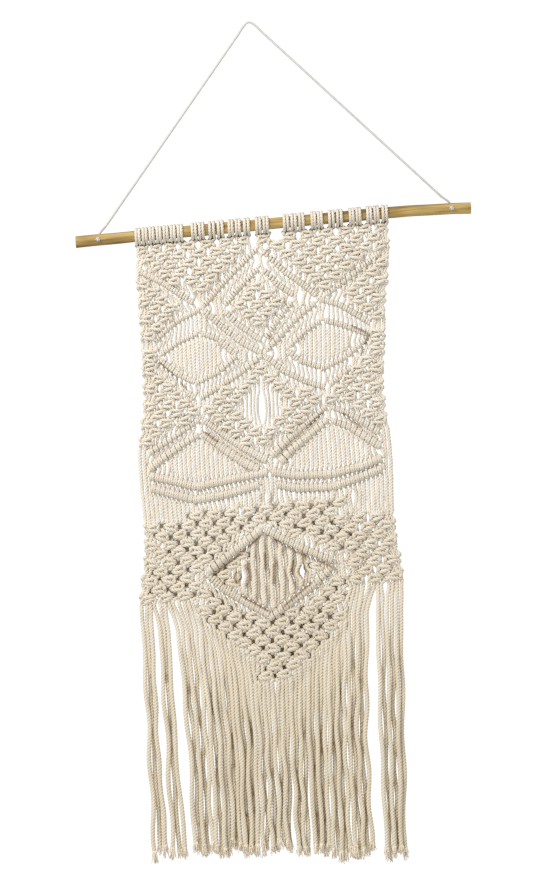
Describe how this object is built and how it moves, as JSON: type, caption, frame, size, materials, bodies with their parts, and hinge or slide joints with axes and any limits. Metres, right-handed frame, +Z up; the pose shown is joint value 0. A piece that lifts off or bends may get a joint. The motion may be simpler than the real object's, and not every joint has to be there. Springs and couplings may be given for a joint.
{
  "type": "macrame wall hanging with its wooden rod and hanging cord",
  "caption": "Knotted cotton panel with diamond and eye patterns and a long fringe, on a slim wooden rod with a hanging cord.",
  "frame": {"origin": "top of the hanging cord, where it goes over its nail", "axes": "+Z up, +X to the right as seen from the front, +Y towards the wall"},
  "size_m": [0.4008, 0.0229, 0.8535],
  "materials": {
    "wood": "bare turned stick, satin from handling",
    "thin_cord": "fine twisted cord, matt",
    "cotton_rope": "three-ply twisted cotton, natural and matt"
  },
  "bodies": {
    "root": {"rod": "wood", "hanging_cord": "thin_cord", "stopper_knot_left": "thin_cord", "stopper_knot_right": "thin_cord", "knotted_panel": "cotton_rope", "fringe": "cotton_rope"}
  },
  "joints": []
}
